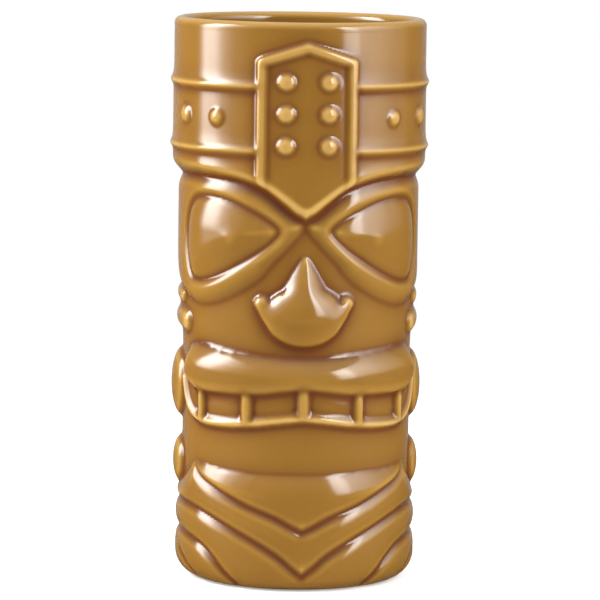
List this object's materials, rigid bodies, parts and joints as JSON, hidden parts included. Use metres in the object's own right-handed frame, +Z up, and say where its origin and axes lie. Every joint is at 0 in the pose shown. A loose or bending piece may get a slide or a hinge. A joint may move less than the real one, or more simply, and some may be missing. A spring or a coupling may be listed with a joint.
{
  "type": "tiki mug",
  "caption": "Tall ceramic drinking mug without a handle, cast as a carved idol: studded headband with a gabled crest, big eyes, nose, toothed mouth, ear plugs and a chevron skirt.",
  "frame": {"origin": "centre of the foot ring, on the surface that the mug stands on", "axes": "+Z up along the mug's axis, the face looks along -Y, +X is at the right of someone who looks at the face"},
  "size_m": [0.073, 0.0746, 0.16],
  "materials": {
    "amber_glaze": "glossy translucent amber glaze over a pale body",
    "thin_glaze": "the same glaze where it runs thin over raised edges and studs",
    "bare_stoneware": "matt unglazed body"
  },
  "bodies": {
    "root": {"vessel": "amber_glaze", "headdress_brim": "amber_glaze", "crest_panel": "amber_glaze", "nose": "amber_glaze", "upper_lip": "amber_glaze", "tooth_row": "amber_glaze", "bib_front": "amber_glaze", "bib_back": "amber_glaze", "chevron_upper": "amber_glaze", "chevron_lower": "amber_glaze", "eye_left": "amber_glaze", "eye_surround_left": "amber_glaze", "ear_roll_upper_left": "amber_glaze", "ear_roll_lower_left": "amber_glaze", "ear_plug_left": "amber_glaze", "ear_drop_left": "amber_glaze", "skirt_panel_left": "amber_glaze", "eye_right": "amber_glaze", "eye_surround_right": "amber_glaze", "ear_roll_upper_right": "amber_glaze", "ear_roll_lower_right": "amber_glaze", "ear_plug_right": "amber_glaze", "ear_drop_right": "amber_glaze", "skirt_panel_right": "amber_glaze", "hair_lock_1": "amber_glaze", "hair_lock_2": "amber_glaze", "hair_lock_3": "amber_glaze", "hair_lock_4": "amber_glaze", "hair_lock_5": "amber_glaze", "crest_frame": "thin_glaze", "headband_rib_lower": "thin_glaze", "headband_rib_upper": "thin_glaze", "lower_lip": "thin_glaze", "crest_stud_1": "thin_glaze", "crest_stud_2": "thin_glaze", "crest_stud_3": "thin_glaze", "crest_stud_4": "thin_glaze", "crest_stud_5": "thin_glaze", "crest_stud_6": "thin_glaze", "headband_stud_1": "thin_glaze", "headband_stud_2": "thin_glaze", "headband_stud_3": "thin_glaze", "headband_stud_4": "thin_glaze", "headband_stud_5": "thin_glaze", "headband_stud_6": "thin_glaze", "headband_stud_7": "thin_glaze", "headband_stud_8": "thin_glaze", "headband_stud_9": "thin_glaze", "headband_stud_10": "thin_glaze", "headband_stud_11": "thin_glaze", "tooth_divider_1": "thin_glaze", "tooth_divider_2": "thin_glaze", "tooth_divider_3": "thin_glaze", "tooth_divider_4": "thin_glaze", "tooth_divider_5": "thin_glaze", "foot_ring": "bare_stoneware"}
  },
  "joints": []
}
